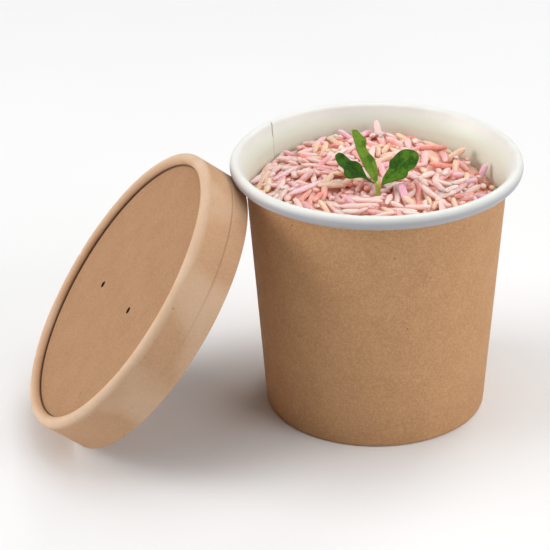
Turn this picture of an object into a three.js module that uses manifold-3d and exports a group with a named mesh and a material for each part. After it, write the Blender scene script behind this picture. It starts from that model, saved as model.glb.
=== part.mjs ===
// Takeaway soup container: a round paperboard pot of pink rice with a small leaf sprig on top,
// and its paperboard lid leaning on edge against the rim. Millimetres, +Z up. The lid leans
// along X, the pot stands at the +X side, and the origin is the bottom centre of the whole.

import * as THREE from "three";
import { mergeVertices } from "three/addons/utils/BufferGeometryUtils.js";
import Module from "manifold-3d";

const wasm = await Module();
wasm.setup();

// Clear space between touching pieces, and how round pieces are divided
const GAP = 0.3;
const ROUND_SIDES = 48;
const CORE_SIDES = 48;
const WELD = 1e-4;

// Pot: a cone of board whose top flares into a rolled rim
const POT_HEIGHT = 82.6;
const RIM_RADIUS = 45;
const ROLL_HALF_WIDTH = 1.75;
const ROLL_HALF_HEIGHT = 2.25;
const BOARD = 0.6;
const WALL_TOP_RADIUS = 40.3;
const FOOT_RADIUS = 34.6;
const ROLL_MIDDLE = POT_HEIGHT - ROLL_HALF_HEIGHT;
const WALL_TOP = POT_HEIGHT - 2 * ROLL_HALF_HEIGHT;
const WALL_SLOPE = (WALL_TOP_RADIUS - FOOT_RADIUS) / WALL_TOP;
const FLARE_DROP = 2.6;
const FLARE_IN = 2.7;
const FLARE_LIP = 0.7;
const FLARE_LIP_IN = 0.95;

// The roll's board runs round an oval: where it leaves the flare, and where it ends below it
const ROLL_START = 170;
const ROLL_END = 150;
const ROLL_INSIDE_STEPS = 7;
const ROLL_OUTSIDE_STEPS = 9;

// Pot foot: the board is folded inward and up round the skirt of the base
const FOLD_HEIGHT = 7;
const EDGE_BEVEL = 0.35;
const BASE_BOARD = 0.5;
const BASE_TOP = 8.6;
const SKIRT_BEND = 0.9;

// Lid: a collar with a rounded bead on top and a hem inside its open edge
const LID_RADIUS = 47.5;
const LID_HEIGHT = 16;
const COLLAR_BOARD = 0.8;
const RING_WIDTH = 3.7;
const RING_ROUND = RING_WIDTH / 2;
const RING_STEP = 30;
const HEM_HEIGHT = 5.4;
const HEM_THICKNESS = 2.1;
const PANEL_DEPTH = 2.5;
const PANEL_BOARD = 0.6;
const LID_TIP = THREE.MathUtils.degToRad(53.1);
const LID_SIDEWAYS = -2.9;

// Two round steam vents in the lid's panel, by their place on it: up its slope and across it
const VENT_RADIUS = 1;
const VENT_SIDES = 12;
const VENTS = [
  { up: -6.7, across: 15.7 },
  { up: 1.1, across: -15.5 },
];

// Rice: the bare core's height at the wall and in the middle, and how it sways and lumps
const CORE_EDGE = 70.4;
const CORE_MIDDLE = 73.6;
const CORE_SWAY = 1.5;
const SWAY_AZIMUTH = THREE.MathUtils.degToRad(88);
const LUMP_HEIGHT = 0.7;
const LUMP_PITCH = 14;
const LUMP_PHASE = 1;
const CORE_RINGS = 4;

// Grains on the core: cooked long-grain rice
const GRAIN_COUNT = 124;
const GRAIN_SEED = 20261;
const GRAIN_LENGTH = [7.4, 11.2];
const GRAIN_THICKNESS = [2.1, 2.5];
const GRAIN_SIDES = 5;
const GRAIN_STATIONS = 3;
const GRAIN_LIFT = [0.35, 1.05];
const GRAIN_SINK = 0.45;
const GRAIN_TURNS = 6;
const SHORT_GRAIN = 0.7;
const WALL_MARGIN = 0.6;
const GOLDEN_ANGLE = Math.PI * (3 - Math.sqrt(5));

// Sprig: a stem that stands in the rice and forks into three leaflets at its hub
const STEM_RADIUS = 0.75;
const STEM_FOOT = new THREE.Vector3(-2.4, -12.3, 74.05);
const STEM_BOW = new THREE.Vector3(0.15, -0.2, 0);
const STEM_STEPS = 4;
const STEM_CURVE_STEPS = 3;
const HUB = new THREE.Vector3(-2.1, -11.7, 78.2);
const LEAF_THICKNESS = 0.4;
const RIPPLES = 2;
const LEAF_STEPS_LONG = 9;
const LEAF_STEPS_WIDE = 4;
const LEAF_FACES = new THREE.Vector3(-0.11, -0.54, 0.83);
const LEAFLETS = [
  {
    tip: new THREE.Vector3(-4.8, 10.6, 87.3),
    widths: [[0, 0.4], [0.23, 1.55], [0.42, 2.05], [0.61, 1.65], [0.81, 1.8], [1, 0.8]],
    bow: -0.3,
    fold: 0.4,
    arch: 0.8,
    ripple: 0.3,
  },
  {
    tip: new THREE.Vector3(-11.9, -0.5, 84.9),
    widths: [[0, 0.4], [0.27, 0.8], [0.36, 1.5], [0.53, 3.2], [0.72, 2.1], [0.9, 1.6], [1, 0.5]],
    bow: 1.3,
    fold: 0.25,
    arch: 0.6,
    ripple: 0.4,
  },
  {
    tip: new THREE.Vector3(10.6, -3.8, 85.3),
    widths: [[0, 0.4], [0.25, 1.8], [0.45, 3.3], [0.78, 3.6], [0.9, 2.9], [1, 0.7]],
    bow: -1.1,
    fold: 0.25,
    arch: 0.7,
    ripple: 0.4,
  },
];

// Colours
const KRAFT = 0xb88c64;
const COLLAR_KRAFT = 0xcba67f;
const PANEL_KRAFT = 0xba906a;
const RICE_PINK = 0xebc0b8;
const LEAF_GREEN = 0x3f7a2c;
const BOARD_ROUGHNESS = 0.85;
const RICE_ROUGHNESS = 0.55;
const LEAF_ROUGHNESS = 0.5;

const lerp = THREE.MathUtils.lerp;

// A seeded random draw between low and high, by a linear congruential row of whole numbers
const DRAW_FACTOR = 1664525;
const DRAW_STEP = 1013904223;
const DRAW_RANGE = 2 ** 32;
let drawState = GRAIN_SEED;
function draw([low, high]) {
  drawState = (drawState * DRAW_FACTOR + DRAW_STEP) % DRAW_RANGE;
  return lerp(low, high, drawState / DRAW_RANGE);
}

// A mesh with a name and a matt material of its own
function piece(name, geometry, color, roughness) {
  const material = new THREE.MeshStandardMaterial({ color, roughness, metalness: 0 });
  const mesh = new THREE.Mesh(geometry, material);
  mesh.name = name;
  return mesh;
}

// A ring turned about Z from a closed profile of [radius, height] points, listed
// anticlockwise; a profile that starts on the axis stays open and ends there
function turned(profile, sides = ROUND_SIDES) {
  const points = profile.map(([radius, height]) => new THREE.Vector2(radius, height));
  if (points[0].x > 0) points.push(points[0].clone());
  return new THREE.LatheGeometry(points, sides).rotateX(Math.PI / 2);
}

// A closed geometry as a solid for joining and cutting
function toSolid(geometry) {
  const bare = geometry.clone();
  bare.deleteAttribute("normal");
  bare.deleteAttribute("uv");
  const welded = mergeVertices(bare, WELD);
  const corners = welded.index.array;
  const triVerts = [];
  for (let i = 0; i < corners.length; i += 3) {
    const [a, b, c] = corners.slice(i, i + 3);
    if (a !== b && b !== c && c !== a) triVerts.push(a, b, c);
  }
  return new wasm.Manifold(new wasm.Mesh({
    numProp: 3,
    vertProperties: new Float32Array(welded.attributes.position.array),
    triVerts: new Uint32Array(triVerts),
  }));
}

// The outer surface of a solid, without loose scraps or hollows sealed by joining
function toGeometry(solid) {
  const bodies = solid.decompose();
  const largest = bodies.reduce((best, body) => (body.volume() > best.volume() ? body : best));
  const mesh = largest.getMesh();
  const geometry = new THREE.BufferGeometry();
  geometry.setAttribute("position", new THREE.BufferAttribute(mesh.vertProperties, 3));
  geometry.setIndex(new THREE.BufferAttribute(mesh.triVerts, 1));
  geometry.computeVertexNormals();
  return geometry;
}

// Radius of the wall's inner face at a height, below the flare
function innerRadius(z) {
  return FOOT_RADIUS - BOARD + WALL_SLOPE * z;
}

// Points on the rim's oval roll, inset from its outside; angles run anticlockwise from +X
function rollArc(inset, from, to, steps) {
  const points = [];
  for (let i = 0; i <= steps; i++) {
    const angle = THREE.MathUtils.degToRad(lerp(from, to, i / steps));
    const radius = RIM_RADIUS - ROLL_HALF_WIDTH + (ROLL_HALF_WIDTH - inset) * Math.cos(angle);
    const height = ROLL_MIDDLE + (ROLL_HALF_HEIGHT - inset) * Math.sin(angle);
    points.push([radius, height]);
  }
  return points;
}

// The wall: up the outside, round inside the roll, back over its top and down the inside,
// then under the folded foot
function potWall() {
  const flareTop = RIM_RADIUS - 2 * ROLL_HALF_WIDTH;
  const foldInner = FOOT_RADIUS - 2 * BOARD - 2 * GAP - BASE_BOARD;
  const profile = [
    [foldInner + EDGE_BEVEL, 0],
    [FOOT_RADIUS - EDGE_BEVEL, 0],
    [FOOT_RADIUS, EDGE_BEVEL],
    [FOOT_RADIUS + WALL_SLOPE * (WALL_TOP - FLARE_DROP), WALL_TOP - FLARE_DROP],
    [flareTop - FLARE_LIP, WALL_TOP],
    ...rollArc(BOARD, ROLL_START, -ROLL_END, ROLL_INSIDE_STEPS),
    ...rollArc(0, -ROLL_END, ROLL_END, ROLL_OUTSIDE_STEPS),
    [flareTop - FLARE_LIP_IN, WALL_TOP + BOARD],
    [innerRadius(WALL_TOP - FLARE_DROP), WALL_TOP - FLARE_IN],
    [innerRadius(BOARD), BOARD],
    [foldInner + BOARD, BOARD],
    [foldInner + BOARD + WALL_SLOPE * FOLD_HEIGHT, FOLD_HEIGHT],
    [foldInner + WALL_SLOPE * FOLD_HEIGHT, FOLD_HEIGHT],
    [foldInner, EDGE_BEVEL],
  ];
  return piece("pot_wall", turned(profile), KRAFT, BOARD_ROUGHNESS);
}

// The base: a disc whose skirt turns down between the wall and its folded foot
function potBase() {
  const under = BASE_TOP - BASE_BOARD;
  const skirtEnd = BOARD + GAP;
  const outer = (z) => innerRadius(z) - GAP;
  const profile = [
    [0, under],
    [outer(under) - SKIRT_BEND - BASE_BOARD, under],
    [outer(under) - BASE_BOARD, under - SKIRT_BEND],
    [outer(skirtEnd) - BASE_BOARD, skirtEnd],
    [outer(skirtEnd), skirtEnd],
    [outer(under - SKIRT_BEND), under - SKIRT_BEND],
    [outer(BASE_TOP) - SKIRT_BEND, BASE_TOP],
    [0, BASE_TOP],
  ];
  return piece("pot_base", turned(profile), KRAFT, BOARD_ROUGHNESS);
}

// Height of the rice's bare core above a point of the pot
function coreHeight(x, y) {
  const share = Math.min(1, Math.hypot(x, y) / innerRadius(CORE_EDGE));
  const sway = CORE_SWAY * Math.cos(2 * (Math.atan2(y, x) - SWAY_AZIMUTH));
  const wave = (2 * Math.PI) / LUMP_PITCH;
  const lump = LUMP_HEIGHT * Math.sin(wave * x + LUMP_PHASE) * Math.cos(wave * y);
  return lerp(CORE_MIDDLE, CORE_EDGE + sway, share * share) + lump * (1 - share * share);
}

// The bare core: it fills the pot from the base up to a gently mounded top
function riceCore() {
  const floor = BASE_TOP + GAP;
  const reach = (z) => innerRadius(z) - GAP;
  const profile = [
    [0, floor],
    [reach(floor) - SKIRT_BEND, floor],
    [reach(floor + SKIRT_BEND), floor + SKIRT_BEND],
  ];
  for (let ring = 0; ring <= CORE_RINGS; ring++) {
    profile.push([reach(CORE_EDGE - CORE_SWAY) * (1 - ring / CORE_RINGS), CORE_EDGE]);
  }
  const geometry = turned(profile, CORE_SIDES);
  const position = geometry.attributes.position;
  for (let i = 0; i < position.count; i++) {
    if (position.getZ(i) > CORE_EDGE - WELD) {
      position.setZ(i, coreHeight(position.getX(i), position.getY(i)));
    }
  }
  return toSolid(geometry);
}

// A grain: a slim lozenge from one end point to the other
function grainSolid(start, end, thickness) {
  const along = end.clone().sub(start);
  const length = along.length();
  const turn = new THREE.Quaternion().setFromUnitVectors(new THREE.Vector3(0, 1, 0), along.normalize());
  const geometry = new THREE.SphereGeometry(1, GRAIN_SIDES, GRAIN_STATIONS);
  geometry.scale(thickness / 2, length / 2, thickness / 2);
  geometry.applyQuaternion(turn);
  const middle = start.clone().lerp(end, 0.5);
  geometry.translate(middle.x, middle.y, middle.z);
  return toSolid(geometry);
}

// Whether a grain stays clear of the wall and of the sprig's stem
function grainFits(start, end, thickness, stem) {
  const margin = thickness / 2 + GAP;
  for (const point of [start, end]) {
    if (Math.hypot(point.x, point.y) > innerRadius(CORE_EDGE) - margin * WALL_MARGIN) return false;
  }
  const axis = new THREE.Line3(start, end);
  for (const point of stem.getPoints(STEM_STEPS)) {
    const nearest = axis.closestPointToPoint(point, true, new THREE.Vector3());
    if (nearest.distanceTo(point) < margin + STEM_RADIUS) return false;
  }
  return true;
}

// Grains spread evenly over the core on a sunflower spiral, each turned and raised by a
// random draw; one that would cross the wall or the stem is turned, then shortened, or skipped
function riceGrains(stem) {
  const grains = [];
  const reach = innerRadius(CORE_EDGE) - GAP - GRAIN_THICKNESS[0] / 2;
  for (let i = 0; i < GRAIN_COUNT; i++) {
    const distance = reach * Math.sqrt((i + 0.5) / GRAIN_COUNT);
    const azimuth = i * GOLDEN_ANGLE;
    const x = distance * Math.cos(azimuth);
    const y = distance * Math.sin(azimuth);
    const thickness = draw(GRAIN_THICKNESS);
    const fullLength = draw(GRAIN_LENGTH);
    const yaw = draw([0, Math.PI]);
    const lifts = [draw(GRAIN_LIFT), draw(GRAIN_LIFT)];
    let placed = false;
    for (let attempt = 0; attempt < 2 * GRAIN_TURNS && !placed; attempt++) {
      const length = fullLength * (attempt < GRAIN_TURNS ? 1 : SHORT_GRAIN);
      const heading = yaw + attempt * (Math.PI / GRAIN_TURNS);
      const ends = [-0.5, 0.5].map((half, side) => {
        const px = x + half * length * Math.cos(heading);
        const py = y + half * length * Math.sin(heading);
        const sink = side === i % 2 ? GRAIN_SINK : 0;
        return new THREE.Vector3(px, py, coreHeight(px, py) + lifts[side] - sink);
      });
      placed = grainFits(...ends, thickness, stem);
      if (placed) grains.push(grainSolid(...ends, thickness));
    }
  }
  return grains;
}

function rice(stem) {
  const heap = wasm.Manifold.union([riceCore(), ...riceGrains(stem)]);
  return piece("rice", toGeometry(heap), RICE_PINK, RICE_ROUGHNESS);
}

// The stem's centre line, from just above the bare core up to the hub
function stemCurve() {
  const bow = STEM_FOOT.clone().lerp(HUB, 0.5).add(STEM_BOW);
  return new THREE.CatmullRomCurve3([STEM_FOOT, bow, HUB]);
}

// One leaflet: a wavy sheet from the hub to its tip, with both faces divided alike
function leafletSolid({ tip, widths, bow, fold, arch, ripple }) {
  const along = tip.clone().sub(HUB);
  const length = along.length();
  along.normalize();
  const up = LEAF_FACES.clone().addScaledVector(along, -LEAF_FACES.dot(along)).normalize();
  const across = new THREE.Vector3().crossVectors(up, along);
  const outline = new THREE.SplineCurve(widths.map(([share, half]) => new THREE.Vector2(share, half)));
  const grid = new THREE.PlaneGeometry(1, 2, LEAF_STEPS_LONG, LEAF_STEPS_WIDE);
  const position = grid.attributes.position;
  const sheet = [];
  for (const side of [0.5, -0.5]) {
    for (let i = 0; i < position.count; i++) {
      const { x: share, y: half } = outline.getPoint(position.getX(i) + 0.5);
      const v = position.getY(i);
      const swell = 4 * share * (1 - share);
      const lift = arch * swell
        + fold * Math.abs(v) * half
        + ripple * v * v * Math.sin(share * RIPPLES * 2 * Math.PI + v);
      sheet.push(HUB.clone()
        .addScaledVector(along, length * share)
        .addScaledVector(across, half * v + bow * swell)
        .addScaledVector(up, lift + side * LEAF_THICKNESS));
    }
  }
  const geometry = new THREE.BufferGeometry().setFromPoints(sheet);
  geometry.setIndex(sheetFaces(grid.index.array, position.count));
  return toSolid(geometry);
}

// Triangles of a closed sheet: the grid on top, the same grid turned over below, and a strip
// between them along the grid's border, whose edges belong to one triangle only
function sheetFaces(top, count) {
  const faces = [...top];
  const border = new Map();
  for (let i = 0; i < top.length; i += 3) {
    const corners = top.slice(i, i + 3);
    faces.push(corners[0] + count, corners[2] + count, corners[1] + count);
    for (let k = 0; k < 3; k++) {
      const [a, b] = [corners[k], corners[(k + 1) % 3]];
      if (!border.delete(`${b},${a}`)) border.set(`${a},${b}`, [a, b]);
    }
  }
  for (const [a, b] of border.values()) {
    faces.push(b, a, a + count, b, a + count, b + count);
  }
  return faces;
}

function leafSprig(stem) {
  const section = new THREE.Shape().absarc(0, 0, STEM_RADIUS, 0, 2 * Math.PI);
  const path = {
    steps: STEM_STEPS,
    curveSegments: STEM_CURVE_STEPS,
    bevelEnabled: false,
    extrudePath: stem,
  };
  const solids = [toSolid(new THREE.ExtrudeGeometry(section, path)), ...LEAFLETS.map(leafletSolid)];
  return piece("leaf_sprig", toGeometry(wasm.Manifold.union(solids)), LEAF_GREEN, LEAF_ROUGHNESS);
}

// The lid's collar, in the lid's own frame: the bead's top is at height 0 and the open edge
// at minus the lid's height. A flap hangs from the bead's inner side over the panel
function lidCollar() {
  const ringInner = LID_RADIUS - RING_WIDTH;
  const wallInner = LID_RADIUS - COLLAR_BOARD;
  const hemInner = LID_RADIUS - HEM_THICKNESS;
  const ringMiddle = LID_RADIUS - RING_ROUND;
  const flapEnd = GAP - PANEL_DEPTH;
  const bead = [];
  for (let degrees = 0; degrees <= 180; degrees += RING_STEP) {
    const angle = THREE.MathUtils.degToRad(degrees);
    bead.push([ringMiddle + RING_ROUND * Math.cos(angle), RING_ROUND * (Math.sin(angle) - 1)]);
  }
  const profile = [
    [hemInner + EDGE_BEVEL, -LID_HEIGHT],
    [LID_RADIUS - EDGE_BEVEL, -LID_HEIGHT],
    [LID_RADIUS, EDGE_BEVEL - LID_HEIGHT],
    ...bead,
    [ringInner, flapEnd],
    [ringInner + COLLAR_BOARD, flapEnd],
    [ringInner + COLLAR_BOARD, -RING_ROUND],
    [ringMiddle, -COLLAR_BOARD],
    [wallInner, -RING_ROUND],
    [wallInner, HEM_HEIGHT - LID_HEIGHT + EDGE_BEVEL],
    [hemInner, HEM_HEIGHT - LID_HEIGHT - EDGE_BEVEL],
    [hemInner, EDGE_BEVEL - LID_HEIGHT],
  ];
  return piece("lid_collar", turned(profile), COLLAR_KRAFT, BOARD_ROUGHNESS);
}

// The lid's panel: a sunken disc whose flange turns up behind the collar's flap, with two vents
function lidPanel() {
  const flangeOuter = LID_RADIUS - COLLAR_BOARD - GAP;
  const flangeEnd = -RING_ROUND - GAP;
  const under = -PANEL_DEPTH - PANEL_BOARD;
  const profile = [
    [0, under],
    [flangeOuter - EDGE_BEVEL, under],
    [flangeOuter, under + EDGE_BEVEL],
    [flangeOuter, flangeEnd],
    [flangeOuter - PANEL_BOARD, flangeEnd],
    [flangeOuter - PANEL_BOARD, -PANEL_DEPTH],
    [0, -PANEL_DEPTH],
  ];
  let panel = toSolid(turned(profile));
  for (const { up, across } of VENTS) {
    panel = panel.subtract(ventCutter(up, across));
  }
  return piece("lid_panel", toGeometry(panel), PANEL_KRAFT, BOARD_ROUGHNESS);
}

// A round cutter that passes right through the panel
function ventCutter(up, across) {
  const depth = PANEL_BOARD + 2 * GAP;
  const cutter = new THREE.CylinderGeometry(VENT_RADIUS, VENT_RADIUS, depth, VENT_SIDES);
  cutter.rotateX(Math.PI / 2);
  return toSolid(cutter.translate(up, across, -PANEL_DEPTH - PANEL_BOARD / 2));
}

// The lid tipped about Y, standing on its open edge, its collar resting under the rim's roll
function leaningLid() {
  const lid = new THREE.Group();
  lid.add(lidCollar(), lidPanel());
  lid.rotation.y = -LID_TIP;
  lid.updateMatrixWorld(true);
  const height = -new THREE.Box3().setFromObject(lid, true).min.z;
  const out = new THREE.Vector2(Math.cos(LID_TIP), Math.sin(LID_TIP));
  const roll = new THREE.Vector2(ROLL_HALF_WIDTH - RIM_RADIUS, ROLL_MIDDLE);
  const rollDepth = Math.hypot(ROLL_HALF_WIDTH * out.x, ROLL_HALF_HEIGHT * out.y);
  const reach = roll.dot(out) - rollDepth - GAP - LID_RADIUS;
  lid.position.set((reach - height * out.y) / out.x, LID_SIDEWAYS, height);
  return lid;
}

function filledPot() {
  const stem = stemCurve();
  const pot = new THREE.Group();
  pot.add(potWall(), potBase(), rice(stem), leafSprig(stem));
  return pot;
}

const container = new THREE.Group();
container.add(filledPot(), leaningLid());
container.updateMatrixWorld(true);
const box = new THREE.Box3().setFromObject(container, true);
const middle = box.getCenter(new THREE.Vector3());
container.position.set(-middle.x, -middle.y, -box.min.z);

export default container;
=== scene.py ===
import math
import random

import bpy
import numpy as np
from mathutils import Matrix, Vector
from mathutils.geometry import delaunay_2d_cdt


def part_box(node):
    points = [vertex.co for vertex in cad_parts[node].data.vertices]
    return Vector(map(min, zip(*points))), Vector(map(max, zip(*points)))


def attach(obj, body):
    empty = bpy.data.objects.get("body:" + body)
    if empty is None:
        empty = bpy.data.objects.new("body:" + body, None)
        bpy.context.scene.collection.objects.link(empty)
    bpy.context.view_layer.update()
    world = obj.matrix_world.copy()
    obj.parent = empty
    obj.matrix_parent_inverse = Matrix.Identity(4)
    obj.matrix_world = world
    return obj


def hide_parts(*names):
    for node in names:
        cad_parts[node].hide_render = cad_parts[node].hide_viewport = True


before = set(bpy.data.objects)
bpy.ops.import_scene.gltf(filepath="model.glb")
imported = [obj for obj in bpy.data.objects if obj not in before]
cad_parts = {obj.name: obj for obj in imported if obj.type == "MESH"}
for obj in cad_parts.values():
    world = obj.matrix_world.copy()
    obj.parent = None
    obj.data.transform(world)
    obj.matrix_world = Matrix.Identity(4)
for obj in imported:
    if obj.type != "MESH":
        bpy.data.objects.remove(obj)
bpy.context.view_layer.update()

# Sizes here are millimetres, about the pot's axis unless said otherwise; pieces are made in metres
MM = 0.001
POT_LOW, POT_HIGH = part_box("pot_wall")
LID_LOW, LID_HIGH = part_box("lid_collar")
POT_AXIS = Vector(((POT_LOW[0] + POT_HIGH[0]) / 2, (POT_LOW[1] + POT_HIGH[1]) / 2, 0))

# Camera: place, angles, and focal length in pixels of a square picture
PHOTO_SIDE = 550
FOCAL_PIXELS = 2340
SENSOR = 36.0
CAMERA_SPOT = Vector((-135.04, -642.46, 370.3))
CAMERA_YAW = math.radians(9.118)
CAMERA_PITCH = math.radians(-26.561)
CAMERA_ROLL = math.radians(-0.898)

# Pot
POT_HEIGHT = 82.6
RIM_RADIUS = 45.0
ROLL_HALF_WIDTH = 1.75
ROLL_HALF_HEIGHT = 2.25
BOARD = 0.6
LINING = 0.2
SEAL = 0.02
WALL_TOP_RADIUS = 40.3
FOOT_RADIUS = 34.6
ROLL_MIDDLE = POT_HEIGHT - ROLL_HALF_HEIGHT
WALL_TOP = POT_HEIGHT - 2 * ROLL_HALF_HEIGHT
WALL_SLOPE = (WALL_TOP_RADIUS - FOOT_RADIUS) / WALL_TOP
FOLD_HEIGHT = 7.0
FOLD_INNER = 32.3
FOLD_CORNER = 0.12
FLARE_BELOW = 3
FLARE_LEAN = 2.4
FLARE_ARRIVAL = 2.0
ROLL_START, ROLL_END = 155, -148
BASE_TOP = 8.6
BASE_BOARD = 0.5
BASE_BEND = 1.0
BASE_BEND_INSET = 1.6
BASE_SIDES = 96
GAP = 0.3
SEAM_AZIMUTH = math.radians(133.4)
SEAM_LEAN = math.radians(-0.64)
SEAM_LEAN_FROM = 76.5
SEAM_STEP = 0.28
SEAM_FADE = math.radians(14)
ROUND_SIDES = 192
# Where the lining's tints lie: grey at the seam's cut edge, and painted shade under the roll and on the
# inside
SEAM_EDGE = math.radians(0.3)
SEAM_TO_ROLL = 0.4
UNDER_START = ROLL_MIDDLE + 1.9
UNDER_FADE = 1.8
INSIDE_FADE = 3
# How far the visible rounds lie inside the many-sided solids' outlines
SKIN = 0.09

# Lid, in its own frame: the ring's top is at height 0, its axis is Z
LID_RADIUS = 47.5
LID_HEIGHT = 16.0
COLLAR_BOARD = 0.8
RING_WIDTH = 3.7
RING_ROUND = 1.85
HEM_HEIGHT = 5.4
HEM_THICKNESS = 2.1
PANEL_DEPTH = 2.5
PANEL_BOARD = 0.75
EDGE_BEVEL = 0.35
CREASE_HEIGHT = 5.7
CREASE_DEPTH = 0.18
CREASE_WIDTH = 0.28
CREASE_SHARPEST = math.radians(-30)
CREASE_LEAST = 0.12
VENT_RADIUS = 1.0
VENTS = ((-6.7, 15.7), (1.1, -15.5))
# Small folds in the ring's paper: angle about the lid's axis in degrees, and depth
RING_FOLDS = ((104.5, 0.24), (103.2, 0.14), (152.5, 0.2), (151.2, 0.12), (160, 0.1), (96, 0.08))
FOLD_WIDTH = 0.55
RING_WAVE = 0.05
DISC_SIDES = 144
VENT_SIDES = 28
LIP_HEIGHT = 0.06
LIP_REACH = 0.7
# Painted shade on the lid: the crease's strength and width, the strength on the ring's flap and on the
# disc under the ring; and the ring's worn pale with painted highlight: its least share inside and below the
# ring and its two fades
CREASE_SHADE = 0.45
CREASE_SHADE_WIDTH = 0.25
FLAP_SHADE = 0.55
DISC_SHADE = 0.6
WEAR_HIGHLIGHT_INSIDE = 0.15
WEAR_HIGHLIGHT_BELOW = 0.1
WEAR_HIGHLIGHT_SPREAD = 0.55
WEAR_HIGHLIGHT_FADE = 1.8
LID_TIP = math.radians(53.1)

# Rice
CORE_EDGE = 70.4
CORE_MIDDLE = 73.6
LUMP_HEIGHT = 0.7
LUMP_PITCH = 14.0
HEAP_OVER_CORE = 1.5
HEAP_SHOULDER = 2.4
HEAP_DEPTH = 4.2
BED_DEPTH = 1.25
BED_LUMP = 0.5
BED_EDGE = CORE_EDGE - 6
HEAP_SEED = 11
GRAIN_LENGTH = (7.2, 12.2)
GRAIN_WIDTH = (1.75, 2.5)
GRAIN_SINK = 0.55
SHORT_LENGTH = (5.5, 9.0)
BROKEN_LENGTH = (3.6, 5.0)
HOLE_DEPTH = 0.9
HOLE_TRIES = 1100
# Laying the heap: places looked at for a grain, misses in a row that end it, how far a grain may
# stand over the top, in the heap and in a hole, and how closely headings follow the drifts
PLACES_TRIED = 14
MISSES_TO_END = 90
OVER_TOP = 0.5
HOLE_OVER_TOP = 0.7
DRIFT_SHARE = 0.7
DRIFT_SPREAD = 0.5
DRIFT_REACH = 90
GRAIN_RINGS, GRAIN_SIDES = 13, 9
BED_SIDES, BED_RINGS = 96, 22
STEM_FOOT = Vector((-2.4, -12.5, 72.9))
HUB = Vector((-2.1, -11.7, 78.2))


def clamp(value, low=0.0, high=1.0):
    return max(low, min(high, value))


def polar(radius, angle):
    """X and Y at a radius and an angle."""
    return radius * math.cos(angle), radius * math.sin(angle)


def inner_radius(z):
    """Radius of the wall's inner face at a height, below the flare."""
    return FOOT_RADIUS - BOARD + WALL_SLOPE * z


def arc(center, radii, start, end, steps):
    """Points on an oval arc, angles in degrees from +X towards +Z."""
    points = []
    for i in range(steps + 1):
        angle = math.radians(start + (end - start) * i / steps)
        points.append((center[0] + radii[0] * math.cos(angle), center[1] + radii[1] * math.sin(angle)))
    return points


def offset_path(path, distance):
    """The path moved to its right-hand side by a distance."""
    points = np.array(path)
    steps = np.diff(points, axis=0)
    steps /= np.linalg.norm(steps, axis=1)[:, None]
    along = np.vstack([steps[:1], steps[:-1] + steps[1:], steps[-1:]])
    along /= np.linalg.norm(along, axis=1)[:, None]
    right = np.stack([along[:, 1], -along[:, 0]], axis=1)
    return [tuple(p) for p in points + right * distance]


# Materials

class Graph:
    """Short calls for the nodes of one material."""

    def __init__(self, name):
        self.material = bpy.data.materials.new(name)
        self.material.use_nodes = True
        self.tree = self.material.node_tree
        self.shader = self.tree.nodes["Principled BSDF"]

    def node(self, kind, inputs=None, **settings):
        made = self.tree.nodes.new("ShaderNode" + kind)
        for key, value in settings.items():
            setattr(made, key, value)
        for key, value in (inputs or {}).items():
            self.set(made.inputs[key], value)
        return made

    def set(self, socket, value):
        if isinstance(value, bpy.types.NodeSocket):
            self.tree.links.new(value, socket)
        else:
            socket.default_value = value

    def place(self):
        """Object coordinates in millimetres."""
        source = self.node("TexCoord").outputs["Object"]
        return self.node("Mapping", {"Vector": source, "Scale": (1 / MM,) * 3}).outputs["Vector"]

    def attribute(self, name, output="Fac"):
        """The values that mark() gave the piece's points under a name."""
        return self.node("Attribute", attribute_name=name).outputs[output]

    def noise(self, vector, scale, detail=3.0, distortion=0.0, roughness=0.5):
        return self.node("TexNoise", {
            "Vector": vector, "Scale": scale, "Detail": detail,
            "Distortion": distortion, "Roughness": roughness}).outputs["Fac"]

    def math(self, operation, a, b=0.0):
        made = self.node("Math", operation=operation)
        for socket, value in zip(made.inputs, (a, b)):
            self.set(socket, value)
        return made.outputs[0]

    def ramp(self, value, low, high, to_low=0.0, to_high=1.0):
        return self.node("MapRange", {
            "Value": value, "From Min": low, "From Max": high,
            "To Min": to_low, "To Max": to_high}, interpolation_type="SMOOTHSTEP").outputs["Result"]

    def mix(self, share, a, b):
        made = self.node("Mix", data_type="RGBA")
        for socket, value in zip((made.inputs[0], made.inputs[6], made.inputs[7]), (share, a, b)):
            self.set(socket, value)
        return made.outputs[2]

    def bump(self, height, distance):
        """Relief of a height in millimetres."""
        made = self.node("Bump", {"Height": height, "Distance": distance * MM})
        self.set(self.shader.inputs["Normal"], made.outputs["Normal"])

    def finish(self, **values):
        for key, value in values.items():
            self.set(self.shader.inputs[key.replace("_", " ")], value)
        return self.material


def rgb(red, green, blue):
    """A display colour, 0 to 255, as linear values."""
    def linear(value):
        value /= 255
        return value / 12.92 if value <= 0.04045 else ((value + 0.055) / 1.055) ** 2.4
    return (linear(red), linear(green), linear(blue), 1.0)


# Colours; a board has its own, a lighter and a darker one
POT_TONES = (rgb(202, 154, 109), rgb(218, 176, 132), rgb(182, 133, 90))
SIDE_TONES = (rgb(196, 152, 115), rgb(205, 164, 127), rgb(184, 138, 101))
# The lid's disc: the side's board made darker, painted shade
DISC_SHADED_TONES = (rgb(172, 130, 94), rgb(187, 148, 113), rgb(156, 113, 78))
SPECK_BROWN = rgb(92, 60, 38)
# Pale of the lid's ring: partly rubbed board, partly a painted highlight
RUBBED_PALE_HIGHLIGHT = rgb(230, 206, 180)
# Painted shade in the lid's crease, on the ring's flap, in the vents and on the disc under the ring
CREVICE_SHADE_BROWN = rgb(72, 42, 24)
LINING_TONES = (rgb(233, 233, 227), rgb(237, 237, 232))
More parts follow.
